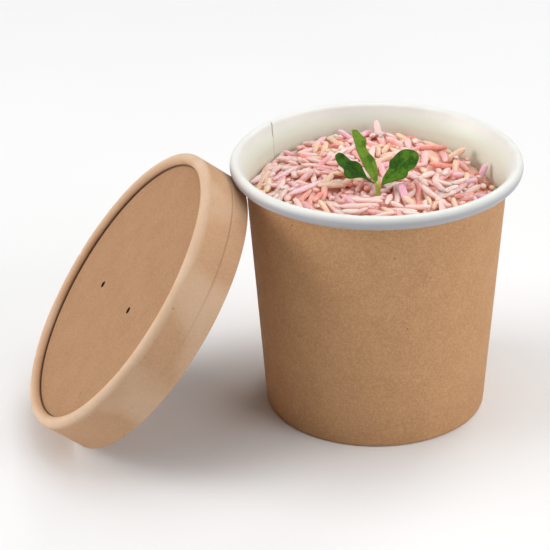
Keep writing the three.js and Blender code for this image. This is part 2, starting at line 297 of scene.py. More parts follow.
# Painted shade on the lining: greener and darker inside, greyer under the roll
LINING_INSIDE_SHADE = rgb(225, 231, 215)
ROLL_UNDER_SHADE = rgb(178, 179, 184)
SEAM_GREY = rgb(166, 164, 148)
GRAIN_CLOUD = rgb(242, 214, 196)
GRAIN_MOTTLE = rgb(242, 220, 212)
# Painted light where grains hide each other
NOOK_PAINTED_LIGHT = rgb(255, 198, 174)
NOOK_REACH = 2.0
RICE_SHEEN = rgb(255, 140, 118)
RICE_GLOW_DEPTH = 1.3
BED_TINT = rgb(252, 186, 168)
STEM_TONES = (rgb(146, 160, 56), rgb(176, 180, 84))
STEM_BLUSH = rgb(216, 128, 74)
FLOOR_TONES = (rgb(238, 238, 238), rgb(241, 241, 241))


def board_material(name, color, light, dark, shade_attribute=None):
    """Kraft board: cloudy tone, fine grain, curled light and dark fibres and rare specks; painted
    shade where the attribute it is given marks an edge or hollow, and worn pale, partly a painted
    highlight, where its points are marked for it. Noise scales are per millimetre."""
    g = Graph(name)
    place = g.place()
    cloud = g.noise(place, 0.11, 4.0, roughness=0.6)
    blotch = g.noise(place, 0.5, 4.0, roughness=0.6)
    grain = g.noise(place, 1.5, 4.0, roughness=0.8)
    tone = g.mix(g.ramp(cloud, 0.35, 0.68, 0.0, 0.4), color, dark)
    tone = g.mix(g.ramp(blotch, 0.35, 0.65, 0.0, 0.25), tone, dark)
    tone = g.mix(g.ramp(grain, 0.44, 0.64, 0.0, 0.58), tone, light)
    tone = g.mix(g.ramp(grain, 0.3, 0.5, 0.45, 0.0), tone, dark)
    for scale, curl, shade, share in ((0.55, 2.0, light, 0.45), (0.7, 2.6, dark, 0.5)):
        line = g.math("ABSOLUTE", g.math("SUBTRACT", g.noise(place, scale, 1.0, curl), 0.5))
        thin = g.ramp(line, 0.004, 0.016, 1.0, 0.0)
        patch = g.ramp(g.noise(place, scale * 1.7, 2.0), 0.5, 0.6, 0.0, share)
        tone = g.mix(g.math("MULTIPLY", thin, patch), tone, shade)
    speck = g.node("TexVoronoi", {"Vector": place, "Scale": 0.13, "Randomness": 1.0})
    spot = g.ramp(speck.outputs["Distance"], 0.025, 0.045, 0.75, 0.0)
    tone = g.mix(spot, tone, SPECK_BROWN)
    if shade_attribute:
        # Worn pale on the ring: partly rubbed, partly a painted highlight on its top and outer side
        wear_and_highlight = g.attribute("wear_and_highlight")
        rub_and_highlight = g.math("MULTIPLY", wear_and_highlight, g.ramp(cloud, 0.3, 0.7, 0.4, 0.6))
        broad = g.ramp(g.noise(place, 0.045, 1.0), 0.35, 0.7, 0.0, 0.38)
        patch = g.math("MULTIPLY", g.ramp(wear_and_highlight, 0.0, 0.1), broad)
        tone = g.mix(g.math("MAXIMUM", rub_and_highlight, patch), tone, RUBBED_PALE_HIGHLIGHT)
        # painted shade: darker brown where the attribute marks a crease, flap, vent wall or the disc under
        # the ring
        tone = g.mix(g.ramp(g.attribute(shade_attribute), 0.0, 1.0), tone, CREVICE_SHADE_BROWN)
    g.bump(g.noise(place, 2.2, 5.0, roughness=0.7), 0.03)
    rough = g.ramp(grain, 0.3, 0.7, 0.72, 0.86)
    return g.finish(Base_Color=tone, Roughness=rough, Specular_IOR_Level=0.35)


def lining_material():
    """White coated board: satin, with a faint mottle and greyer where the board's edge shows at the seam;
    painted shade makes it greener and darker on the inside and greyer under the rolled rim."""
    g = Graph("white_lining")
    place = g.place()
    tone = g.mix(g.ramp(g.noise(place, 0.12), 0.35, 0.65), *LINING_TONES)
    # painted shade on the inside and under the roll; grey along the seam's cut edge
    for name, tint in (("inside", LINING_INSIDE_SHADE), ("under", ROLL_UNDER_SHADE), ("seam", SEAM_GREY)):
        tone = g.mix(g.attribute(name), tone, tint)
    g.bump(g.noise(place, 0.9), 0.02)
    rough = g.ramp(g.noise(place, 0.7), 0.3, 0.7, 0.36, 0.46)
    return g.finish(Base_Color=tone, Roughness=rough, Specular_IOR_Level=0.45)


def rice_material():
    """Moist cooked rice: each grain's own tint, clouded, with light passing a little way in, and painted
    light: a brighter, warmer tint where the grains hide each other."""
    g = Graph("pink_rice")
    place = g.place()
    tint = g.attribute("tint", "Color")
    tone = g.mix(g.ramp(g.noise(place, 0.3), 0.4, 0.7, 0.0, 0.3), tint, GRAIN_CLOUD)
    tone = g.mix(g.ramp(g.noise(place, 0.9), 0.45, 0.75, 0.0, 0.4), tone, GRAIN_MOTTLE)
    # painted light: brighter and warmer where the grains are occluded
    nook = g.node("AmbientOcclusion", {"Distance": NOOK_REACH * MM}, samples=6).outputs["AO"]
    tone = g.mix(g.ramp(nook, 0.1, 0.92, 0.95, 0.0), tone, NOOK_PAINTED_LIGHT)
    g.bump(g.noise(place, 1.3), 0.1)
    return g.finish(Base_Color=tone, Roughness=0.42, Specular_IOR_Level=0.35, Subsurface_Weight=1.0,
                    Subsurface_Radius=(1.0, 1.0, 1.0), Subsurface_Scale=RICE_GLOW_DEPTH * MM,
                    Coat_Weight=0.08, Coat_Roughness=0.25,
                    Sheen_Weight=0.1, Sheen_Roughness=0.5, Sheen_Tint=RICE_SHEEN)


def leaf_material(name, deep, fresh, vein, edge, edge_share):
    """A fresh leaf: mottled green, paler along the veins and darker or browner at the edge."""
    g = Graph(name)
    place = g.place()
    tone = g.mix(g.ramp(g.noise(place, 0.28), 0.38, 0.62), deep, fresh)
    tone = g.mix(g.ramp(g.noise(place, 1.5), 0.5, 0.75, 0.0, 0.3), tone, vein)
    tone = g.mix(g.math("MULTIPLY", g.attribute("vein"), 0.35), tone, vein)
    tone = g.mix(g.math("MULTIPLY", g.attribute("rim"), edge_share), tone, edge)
    g.bump(g.noise(place, 2.4, 4.0), 0.06)
    return g.finish(Base_Color=tone, Roughness=0.6, Specular_IOR_Level=0.12)


# Pieces

def link(thing):
    bpy.context.scene.collection.objects.link(thing)


def add_piece(name, points, faces, material, slot, replaced=(), place=None, sharp=40):
    """A mesh piece from points in millimetres, carried to its place and riding on the root."""
    place = place or Matrix.Translation(POT_AXIS)
    mesh = bpy.data.meshes.new(name)
    mesh.from_pydata([place @ (Vector(p) * MM) for p in points], [], faces)
    mesh.validate()
    mesh.shade_smooth()
    mesh.set_sharp_from_angle(angle=math.radians(sharp))
    mesh.materials.append(material)
    piece = bpy.data.objects.new(name, mesh)
    link(piece)
    if replaced:
        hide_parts(*replaced)
    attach(piece, "root")
    return piece


def mark(piece, name, values, kind="FLOAT"):
    """Gives each point of a piece a number or a colour, for its material to read by name."""
    points = piece.data.attributes.new(name, kind, "POINT").data
    points.foreach_set("color" if kind == "FLOAT_COLOR" else "value", values)


def turn(profile, angles, change=None, twist=None):
    """A closed profile of [radius, height] turned about Z; change(radius, height, angle) may
    move each point, and twist(height) turns it on. The profile runs anticlockwise, so that the
    faces point outward."""
    points, faces = [], []
    count = len(profile)
    for angle in angles:
        for radius, height in profile:
            r, z = change(radius, height, angle) if change else (radius, height)
            turned = angle + (twist(height) if twist else 0)
            points.append((*polar(r, turned), z))
    for i in range(len(angles)):
        after = (i + 1) % len(angles)
        for k in range(count):
            nxt = (k + 1) % count
            faces.append((i * count + k, after * count + k, after * count + nxt, i * count + nxt))
    return points, faces


def even_angles(sides=ROUND_SIDES):
    return [2 * math.pi * i / sides for i in range(sides)]


def turn_capped(profile, sides, change=None):
    """A profile turned about Z from its foot to its top, both closed at the middle by a flat face."""
    points, faces = turn(profile, even_angles(sides), change)
    count = len(profile)
    faces = [f for f in faces if not (f[0] % count == count - 1 and f[3] % count == 0)]
    faces.append([i * count for i in range(sides)][::-1])
    faces.append([i * count + count - 1 for i in range(sides)])
    return points, faces


def tube_faces(rings, sides):
    """The faces between each ring of points and the next."""
    faces = []
    for i in range(rings - 1):
        for k in range(sides):
            after = (k + 1) % sides
            faces.append((i * sides + k, i * sides + after, (i + 1) * sides + after, (i + 1) * sides + k))
    return faces


def seam_angles():
    """Even angles with close ones added where the board's edge lies on itself."""
    near = [SEAM_AZIMUTH + math.radians(d) for d in (-0.5, -0.2, 0.2, 0.5)]
    kept = [a for a in even_angles() if all(abs(a - n) > math.radians(0.5) for n in near)]
    return sorted(kept + near)


def seam_height(angle):
    """How far the overlap stands out at an angle: a step at the edge, then a slow fade."""
    past = (angle - SEAM_AZIMUTH) % (2 * math.pi)
    return SEAM_STEP * (1 - past / SEAM_FADE) if past < SEAM_FADE else 0.0


def board_path():
    """The board's white face: down the folded flap, across the fold, up the wall and round the
    roll."""
    corner = FOLD_CORNER
    flap = FOLD_INNER + BOARD
    path = [(flap + WALL_SLOPE * z, z) for z in np.linspace(FOLD_HEIGHT, BOARD + 1, 5)]
    path += arc((flap + corner, BOARD + corner), (corner, corner), 180, 270, 4)
    path += arc((inner_radius(BOARD) - corner, BOARD + corner), (corner, corner), -90, 0, 4)
    path += [(inner_radius(z), z) for z in np.linspace(BOARD + 1, WALL_TOP - 5, 14)]
    flare_height = WALL_TOP - FLARE_BELOW
    flare_start = np.array((inner_radius(flare_height), flare_height))
    roll_center = (RIM_RADIUS - ROLL_HALF_WIDTH, ROLL_MIDDLE)
    roll_radii = (ROLL_HALF_WIDTH - SKIN, ROLL_HALF_HEIGHT - SKIN)
    roll = arc(roll_center, roll_radii, ROLL_START, ROLL_END, 34)
    flare_end = np.array(roll[0])
    lean = np.array((WALL_SLOPE, 1.0)) * FLARE_LEAN
    arrive = np.array(roll[1]) - flare_end
    arrive *= FLARE_ARRIVAL / np.linalg.norm(arrive)
    for t in np.linspace(0, 1, 9)[:-1]:
        blend = ((1 - t) ** 3 * flare_start + 3 * (1 - t) ** 2 * t * (flare_start + lean)
                 + 3 * (1 - t) * t ** 2 * (flare_end - arrive) + t ** 3 * flare_end)
        path.append(tuple(blend))
    return path + roll


def layer(path, near, far):
    """A closed profile between two distances from the board's white face."""
    return offset_path(path, far) + offset_path(path, near)[::-1]


def pot_pieces():
    path = board_path()
    kraft = board_material("kraft_board", *POT_TONES)
    white = lining_material()

    def lap(radius, height, angle):
        stands = BASE_TOP < height < WALL_TOP + 1
        return radius - (seam_height(angle) if stands else 0.0), height

    def lean(height):
        return SEAM_LEAN * max(0.0, height - SEAM_LEAN_FROM)

    outer = turn(layer(path, LINING + SEAL, BOARD), even_angles())
    add_piece("pot_board", *outer, kraft, "kraft_board", ("pot_wall",))
    angles = seam_angles()
    profile = layer(path, 0, LINING)
    lining = add_piece("pot_lining", *turn(profile, angles, lap, lean), white, "white_lining", sharp=50)
    roll_middle = RIM_RADIUS - ROLL_HALF_WIDTH
    seam, under, inside = [], [], []
    for angle in angles:
        by_seam = abs(angle - SEAM_AZIMUTH) < SEAM_EDGE
        for r, z in profile:
            seam.append(float(by_seam and z > BASE_TOP and r < roll_middle - SEAM_TO_ROLL))
            # painted shade on the roll's lower outside
            under.append(clamp((UNDER_START - z) / UNDER_FADE) if r > roll_middle else 0.0)
            # painted shade on the inside wall below the roll
            inside.append(clamp((WALL_TOP + INSIDE_FADE - z) / INSIDE_FADE) if r < roll_middle else 0.0)
    mark(lining, "seam", seam)
    mark(lining, "under", under)
    mark(lining, "inside", inside)
    add_piece("pot_base_board", *turn_capped(base_profile(), BASE_SIDES), kraft, "kraft_board", ("pot_base",))


def base_profile():
    """Section of the disc in the foot, with its skirt turned down inside the wall."""
    middle, flat = 0.4, 20
    under = BASE_TOP - BASE_BOARD
    bend = (inner_radius(BASE_TOP) - GAP - BASE_BEND_INSET, under - BASE_BEND)
    skirt_end = BOARD + GAP
    foot = inner_radius(skirt_end) - GAP
    profile = [(middle, under), (flat, under)]
    profile += arc(bend, (BASE_BEND, BASE_BEND), 90, 0, 6)
    profile += [(foot - BASE_BOARD, skirt_end), (foot, skirt_end)]
    profile += arc(bend, (BASE_BEND + BASE_BOARD, BASE_BEND + BASE_BOARD), 0, 90, 8)
    return profile + [(flat, BASE_TOP), (middle, BASE_TOP)]


def lid_place():
    """The lid's place: tipped about Y, on its open edge, against the rim's roll."""
    out = Vector((math.cos(LID_TIP), math.sin(LID_TIP)))
    drops = ((LID_RADIUS, LID_HEIGHT - EDGE_BEVEL), (LID_RADIUS - EDGE_BEVEL, LID_HEIGHT))
    height = max(r * out.y + z * out.x for r, z in drops)
    roll = Vector((ROLL_HALF_WIDTH - RIM_RADIUS, ROLL_MIDDLE))
    depth = math.hypot(ROLL_HALF_WIDTH * out.x, ROLL_HALF_HEIGHT * out.y)
    x = (roll.dot(out) - depth - GAP - LID_RADIUS - height * out.y) / out.x
    y = (LID_LOW[1] + LID_HIGH[1]) / 2
    spot = Vector((POT_AXIS.x + x * MM, y, height * MM))
    return Matrix.Translation(spot) @ Matrix.Rotation(-LID_TIP, 4, "Y")


def collar_profile():
    """Section of the lid's side: open edge, side, rounded ring, and the flap that holds the disc."""
    outside = LID_RADIUS - SKIN
    ring_in = LID_RADIUS - RING_WIDTH
    ring_middle = (outside + ring_in) / 2
    half = (outside - ring_in) / 2
    wall_in = LID_RADIUS - COLLAR_BOARD
    hem_in = LID_RADIUS - HEM_THICKNESS
    flap_end = GAP - PANEL_DEPTH
    bevel = EDGE_BEVEL
    hem_top = -LID_HEIGHT + HEM_HEIGHT
    profile = arc((hem_in + bevel, -LID_HEIGHT + bevel), (bevel, bevel), 180, 270, 4)
    profile += arc((outside - bevel, -LID_HEIGHT + bevel), (bevel, bevel), -90, 0, 4)
    # Rows of points up the side, closest at the crease
    crease = -LID_HEIGHT + CREASE_HEIGHT
    profile += [(outside, z) for z in np.linspace(-LID_HEIGHT + 1, crease - 1, 5)]
    profile += [(outside, z) for z in np.linspace(crease - 0.8, crease + 0.8, 9)]
    profile += [(outside, z) for z in np.linspace(crease + 1.2, -RING_ROUND - 0.4, 10)]
    profile += arc((ring_middle, -RING_ROUND), (half, RING_ROUND - 0.02), 0, 180, 22)
    profile += [(ring_in, flap_end), (ring_in + COLLAR_BOARD, flap_end)]
    profile += arc((ring_middle, -RING_ROUND), (half - COLLAR_BOARD, RING_ROUND - COLLAR_BOARD), 180, 0, 8)
    profile += [(wall_in, hem_top + bevel), (hem_in, hem_top - bevel)]
    return profile


def ring_angles():
    """Even angles with close ones added at the folds in the ring's paper."""
    folds = [math.radians(a + d) for a, _ in RING_FOLDS for d in (-0.9, -0.6, -0.3, 0, 0.3, 0.6, 0.9)]
    kept = [a for a in even_angles() if all(abs(a - f) > math.radians(0.4) for f in folds)]
    return sorted(set(kept + folds))


def crease_strength(angle):
    """How sharp the crease is at an angle about the lid's axis."""
    return CREASE_LEAST + (1 - CREASE_LEAST) * max(0.0, math.cos(angle - CREASE_SHARPEST)) ** 3


def worn(radius, height, angle):
    """The crease round the lid's side, the folds in its ring and the paper's slight waviness."""
    outside = LID_RADIUS - SKIN
    if radius > outside - 0.05 and height < -RING_ROUND:
        crease = math.exp(-((height + LID_HEIGHT - CREASE_HEIGHT) / CREASE_WIDTH) ** 2)
        return radius - CREASE_DEPTH * crease * crease_strength(angle), height
    if height > -RING_ROUND - 0.01 and radius > LID_RADIUS - RING_WIDTH - 0.01:
        turned = math.degrees(angle) % 360
        drop = sum(depth * math.exp(-((turned - a) / FOLD_WIDTH) ** 2) for a, depth in RING_FOLDS)
        wave = RING_WAVE * (1 + math.sin(7 * angle) * math.sin(3 * angle + 1))
        return radius, height - (drop + wave) * max(0.0, 1 + height / RING_ROUND)
    return radius, height


def disc_mesh():
    """The lid's disc with its two round vents: points, faces and how much painted shade each point has,
    in a hole's wall or where the disc runs under the ring."""
    outer = LID_RADIUS - COLLAR_BOARD - GAP
    shown = LID_RADIUS - RING_WIDTH
    flat, loops, rings = [], [], []
    for radius in (outer, shown + 0.3, shown - 0.15, shown - 0.6):
        loops.append(list(range(len(flat), len(flat) + DISC_SIDES)))
        flat += [Vector(polar(radius, a)) for a in even_angles(DISC_SIDES)]
    for x, y in VENTS:
        for reach in (1.0, 1.25, 1.7):
            loops.append(list(range(len(flat), len(flat) + VENT_SIDES)))
            circle = [polar(reach * VENT_RADIUS, a) for a in even_angles(VENT_SIDES)]
            flat += [Vector((x + dx, y + dy)) for dx, dy in circle]
            if reach == 1.0:
                rings.append(loops[-1])
    for radius in np.arange(4, shown - 2, 4):
        for a in even_angles(max(6, int(radius * 1.6))):
            spot = Vector(polar(radius, a))
            if all((spot - Vector(v)).length > 3 * VENT_RADIUS for v in VENTS):
                flat.append(spot)
    edges = [(a, b) for loop in loops for a, b in zip(loop, loop[1:] + loop[:1])]
    made, _, cells, origin, _, _ = delaunay_2d_cdt(flat, edges, [], 0, 1e-5)
    order = {source: i for i, group in enumerate(origin) for source in group}
    holes = [{order[i] for i in ring} for ring in rings]
    cells = [list(cell) for cell in cells if not any(hole.issuperset(cell) for hole in holes)]
    count = len(made)
    top, under = -PANEL_DEPTH, -PANEL_DEPTH - PANEL_BOARD
    points, near = [], []
    for level in (top, under):
        for spot in made:
            gap = min((spot - Vector(v)).length for v in VENTS) / VENT_RADIUS
            lip = max(0.0, 1 - (gap - 1) / LIP_REACH)
            points.append((spot.x, spot.y, level + (LIP_HEIGHT * lip * lip if level == top else 0)))
            # painted shade: full in a hole's wall, and rising towards the ring's edge
            near.append(1.0 if gap < 1.1 else clamp((spot.length - shown + 0.55) / 0.6, 0.0, DISC_SHADE))
    faces = cells + [[i + count for i in cell[::-1]] for cell in cells]
    for loop, inward in [(loops[0], False)] + [(ring, True) for ring in rings]:
        loop = [order[i] for i in loop]
        for a, b in zip(loop, loop[1:] + loop[:1]):
            faces.append([b, a, a + count, b + count][::1 if not inward else -1])
    return points, faces, near


def side_marks(profile, angles):
    """How much painted shade each point of the lid's side has, in its crease and on the ring's flap, and
    how worn pale it is, partly a painted highlight, most on the ring's outer part and top."""
    ring_in = LID_RADIUS - RING_WIDTH
    crevice_shade, wear_and_highlight = [], []
    for angle in angles:
        crease_shade = CREASE_SHADE * crease_strength(angle)
        for r, z in profile:
            from_crease = (z + LID_HEIGHT - CREASE_HEIGHT) / CREASE_SHADE_WIDTH
            crease = math.exp(-from_crease ** 2) if r > LID_RADIUS - 0.2 else 0.0
            # painted shade down the ring's flap
            flap = clamp(-1.0 - z) * FLAP_SHADE if r < ring_in + 0.01 else 0.0
            crevice_shade.append(max(flap, crease_shade * crease))
            # worn pale and painted highlight, most outward and highest on the ring
            outward = clamp((r - LID_RADIUS + RING_WIDTH) / (RING_WIDTH * WEAR_HIGHLIGHT_SPREAD))
            upward = clamp(1.0 + (z + RING_ROUND - 0.4) / WEAR_HIGHLIGHT_FADE, WEAR_HIGHLIGHT_BELOW)
            wear_and_highlight.append((WEAR_HIGHLIGHT_INSIDE + (1 - WEAR_HIGHLIGHT_INSIDE) * outward) * upward)
    return crevice_shade, wear_and_highlight


def lid_pieces():
    place = lid_place()
    profile, angles = collar_profile(), ring_angles()
    board = board_material("lid_board", *SIDE_TONES, "crevice_shade")
    side = add_piece("lid_side", *turn(profile, angles, worn), board, "lid_board", ("lid_collar",), place)
    crevice_shade, wear_and_highlight = side_marks(profile, angles)
    mark(side, "crevice_shade", crevice_shade)
    mark(side, "wear_and_highlight", wear_and_highlight)
    points, faces, near = disc_mesh()
    board = board_material("shaded_disc_board", *DISC_SHADED_TONES, "vent_and_ring_shade")
    disc = add_piece("lid_disc", points, faces, board, "lid_board", ("lid_panel",), place)
    mark(disc, "vent_and_ring_shade", near)


# Rice

# Height of the rice along the wall, by azimuth in degrees, and how far each one reaches
EDGE_SPREAD = 14
EDGE_HEIGHTS = ((7, 68.4), (28, 70.2), (52, 73.8), (76, 74.7), (98, 74.3), (114, 73.5), (134, 71.9),
                (152, 72.1), (180, 71.8), (225, 70.8), (270, 70.4), (315, 69.6), (345, 68.4))


def edge_height(azimuth):
    """Height of the rice at the wall, smoothly between the listed azimuths."""
    spots = np.array([a for a, _ in EDGE_HEIGHTS])
    spots = np.concatenate([spots - 360, spots, spots + 360])
    heights = np.array([h for _, h in EDGE_HEIGHTS] * 3)
    degrees = np.degrees(azimuth)
    total, weight = 0, 0
    for spot, height in zip(spots, heights):
        share = np.exp(-((degrees - spot) / EDGE_SPREAD) ** 2)
        total, weight = total + share * height, weight + share
    return total / weight


def heap_top(x, y):
    """Height of the top of the rice over a point."""
    reach = np.minimum(1, np.hypot(x, y) / inner_radius(CORE_EDGE))
    edge = edge_height(np.arctan2(y, x))
    lump = LUMP_HEIGHT * np.sin(2 * math.pi * x / LUMP_PITCH + 1) * np.cos(2 * math.pi * y / LUMP_PITCH)
    share = reach ** HEAP_SHOULDER
    return CORE_MIDDLE + HEAP_OVER_CORE + (edge - CORE_MIDDLE - HEAP_OVER_CORE) * share + lump * (1 - share)


class Heap:
    """A height map on which grains are laid one by one, each where it lies lowest."""

    CELL = 0.3
    HALF = 41.0
    TILTS = np.radians(np.arange(-32, 33, 4))
    TILT_COST = 0.4

    def __init__(self):
        self.count = int(2 * self.HALF / self.CELL)
        axis = (np.arange(self.count) + 0.5) * self.CELL - self.HALF
        self.x, self.y = np.meshgrid(axis, axis, indexing="ij")
        self.goal = heap_top(self.x, self.y)
        self.level = self.goal - HEAP_DEPTH

    def cell(self, value):
        return np.clip(((value + self.HALF) / self.CELL).astype(int), 0, self.count - 1)

    def rest(self, x, y, yaw, length, width):
        """Centre height and tilt at which a grain lies on what is under it."""
        along = np.linspace(-0.46, 0.46, 11) * length
        across = np.array((-0.3, 0, 0.3)) * width
        px = x + along[:, None] * math.cos(yaw) - across[None] * math.sin(yaw)
        py = y + along[:, None] * math.sin(yaw) + across[None] * math.cos(yaw)
        under = self.level[self.cell(px), self.cell(py)].max(axis=1)
        belly = width / 2 * np.sqrt(1 - (2 * along / length) ** 2)
        heights = (under + belly)[None] - along[None] * np.tan(self.TILTS)[:, None]
        best = heights.max(axis=1)
        pick = int(np.argmin(best + self.TILT_COST * np.abs(self.TILTS)))
        return best[pick] - GRAIN_SINK, self.TILTS[pick]

    def press(self, x, y, z, yaw, tilt, length, width):
        """Raises the height map to the top of a grain."""
        low = self.cell(np.array((x - length / 2 - 1, y - length / 2 - 1)))
        high = self.cell(np.array((x + length / 2 + 1, y + length / 2 + 1))) + 1
        part = (slice(low[0], high[0]), slice(low[1], high[1]))
        dx, dy = self.x[part] - x, self.y[part] - y
        s = dx * math.cos(yaw) + dy * math.sin(yaw)
        w = -dx * math.sin(yaw) + dy * math.cos(yaw)
        girth = width / 2 * np.sqrt(np.clip(1 - (2 * s / length) ** 2, 0, 1))
        swell = np.sqrt(np.clip(girth ** 2 - w ** 2, 0, None))
        top = np.where(girth > np.abs(w), z + s * math.tan(tilt) + swell, -1)
        self.level[part] = np.maximum(self.level[part], top)


# Each tint: its two ends and its share of the grains
TINTS = {
    "pink": (rgb(241, 174, 178), rgb(244, 218, 213), 0.44),
    "pale": (rgb(244, 225, 218), rgb(244, 204, 201), 0.24),
    "peach": (rgb(243, 216, 180), rgb(242, 204, 178), 0.12),
    "orchid": (rgb(239, 174, 204), rgb(243, 213, 220), 0.11),
    "coral": (rgb(242, 140, 132), rgb(243, 182, 172), 0.09),
    "russet": (rgb(150, 66, 48), rgb(206, 110, 86), 0.004),
}

# Where one tint is common: place on the heap, reach, tint and share of the grains there
TINT_SPOTS = ((-20.4, -4.5, 6, "coral", 0.75), (-10, 2, 5, "peach", 0.6), (8.4, 23.6, 5, "peach", 0.5),
              (6.4, -13, 6, "coral", 0.5), (-6.3, -3.1, 3.5, "coral", 0.7), (28.4, 5.6, 5, "orchid", 0.4),
              (-31, 7, 3.5, "coral", 0.5), (-24, 17, 9, "pale", 0.45), (7, -5, 6, "pale", 0.4))

# Way the grains lie, in drifts: place on the heap and heading in degrees
DRIFTS = ((-30, 5, 20), (-20, -8, 80), (-8, -18, -25), (0, 18, 10), (13, -8, 62), (23, -2, 60),
          (28, -14, -35), (20, 20, -30), (-15, 25, 8), (0, 32, 95), (32, 8, 30), (-32, 16, 35))

# Grains placed one by one, where one shows clearly: place on the heap, height over it, heading,
# tilt, length, width and tint
PLACED = (
    (-7.4, -15.8, 1.5, -14, -3, 12.4, 2.4, "pale"),
    (-9.0, -18.6, 1.0, -12, 2, 12.0, 2.4, "pale"),
    (-9.8, -20.6, 0.4, -16, 1, 10.6, 2.2, "pale"),
    (5.4, -14.8, 1.2, 100, 40, 8.4, 2.4, "orchid"),
    (-22.4, -3.1, 1.2, 27, 3, 12.4, 2.2, "orchid"),
    (-14.6, -3.4, 0.9, -18, 4, 10.0, 2.4, "peach"),
    (8.1, 32.5, 1.0, 100, 38, 9.5, 2.4, "pink"),
    (28.4, 16.6, 0.9, 15, 24, 9.0, 2.5, "peach"),
    (35.2, 6.6, 0.2, 40, 50, 8.0, 2.1, "orchid"),
    (34.4, 1.6, -0.2, 150, 8, 7.0, 2.0, "russet"),
    (33.6, 4.0, -0.4, 95, 12, 6.5, 1.9, "russet"),
    (-33.4, 11.5, 0.6, 20, 6, 9.0, 2.3, "orchid"),
    (-33.0, 5.0, 0.6, 75, 5, 8.5, 2.4, "peach"),
    (20.6, -9.4, -0.2, 30, 4, 8.6, 2.2, "pale"),
    (24.4, -7.2, -0.1, 52, -3, 9.0, 2.1, "pink"),
    (23.6, -3.4, -0.3, 20, 5, 9.2, 2.3, "pale"),
    (28.6, -6.0, -0.3, 35, 3, 8.4, 2.2, "pink"),
    (27.6, -2.4, 0.0, 24, -4, 9.4, 2.2, "orchid"),
    (29.8, -1.0, -0.4, 60, 4, 7.8, 2.1, "pink"),
    (22.2, 2.4, -0.3, 40, 4, 8.8, 2.2, "pink"),
    (24.6, -10.6, -0.4, 12, -3, 8.2, 2.1, "coral"),
    (18.2, -13.2, -0.2, 20, 5, 8.8, 2.2, "pale"),
)


def drift(x, y):
    """The heading most grains have at a point, smoothly between the listed drifts."""
    east, north = 0.0, 0.0
    for spot_x, spot_y, heading in DRIFTS:
        share = math.exp(-((x - spot_x) ** 2 + (y - spot_y) ** 2) / DRIFT_REACH)
        east += share * math.cos(2 * math.radians(heading))
        north += share * math.sin(2 * math.radians(heading))
    return math.atan2(north, east) / 2


def grain_shape(center, yaw, tilt, length, width, rng):
    """Points, faces and places along its length of one cooked grain: slim, bent, a little
    flattened and grooved, with one end blunter than the other."""
    rings, sides = GRAIN_RINGS, GRAIN_SIDES
    bend = rng.uniform(-0.06, 0.06) * length
    twist = rng.uniform(-0.5, 0.5)
    flat = rng.uniform(0.74, 0.95)
    powers = rng.uniform(2.3, 3.8), rng.uniform(2.8, 5.5)
    groove = rng.uniform(0, 0.14)
    wobble = [rng.uniform(0.93, 1.05) for _ in range(rings)]
    along = Vector((math.cos(yaw) * math.cos(tilt), math.sin(yaw) * math.cos(tilt), math.sin(tilt)))
    side = Vector((-math.sin(yaw), math.cos(yaw), 0))
    up = along.cross(side)
    points, spans = [], []
    for i in range(rings):
        s = -math.cos(math.pi * (i + 0.55) / (rings + 0.1))
        power = powers[0] if s < 0 else powers[1]
        girth = width / 2 * (1 - abs(s) ** power) ** 0.5 * wobble[i]
        middle = center + along * (s * length / 2) + side * (bend * (1 - s * s))
        spans.append(s)
        for k in range(sides):
            angle = 2 * math.pi * k / sides + twist * s
            reach = girth * (1 - groove * max(0, math.sin(angle)) ** 6)
            points.append(middle + side * (reach * math.cos(angle)) + up * (reach * flat * math.sin(angle)))
    points.append(center - along * (length / 2))
    points.append(center + along * (length / 2))
    faces = tube_faces(rings, sides)
    for k in range(sides):
        nxt = (k + 1) % sides
        faces.append((rings * sides, nxt, k))
        faces.append((rings * sides + 1, (rings - 1) * sides + k, (rings - 1) * sides + nxt))
    shares = [s for s in spans for _ in range(sides)] + [-1, 1]
    return points, faces, shares


def inside_pot(x, y, z, yaw, tilt, length, width):
    """Whether a grain's ends stay within the wall, and its side clear of the stem."""
    for end in (-0.5, 0.5):
        px = x + end * length * math.cos(yaw) * math.cos(tilt)
        py = y + end * length * math.sin(yaw) * math.cos(tilt)
        pz = z + end * length * math.sin(tilt)
        if math.hypot(px, py) > inner_radius(pz) - 0.35 * width:
            return False
    to_stem = (STEM_FOOT.x - x) * math.cos(yaw) + (STEM_FOOT.y - y) * math.sin(yaw)
    beside = -(STEM_FOOT.x - x) * math.sin(yaw) + (STEM_FOOT.y - y) * math.cos(yaw)
    return abs(to_stem) > length / 2 + 0.6 or abs(beside) > width / 2 + 0.75


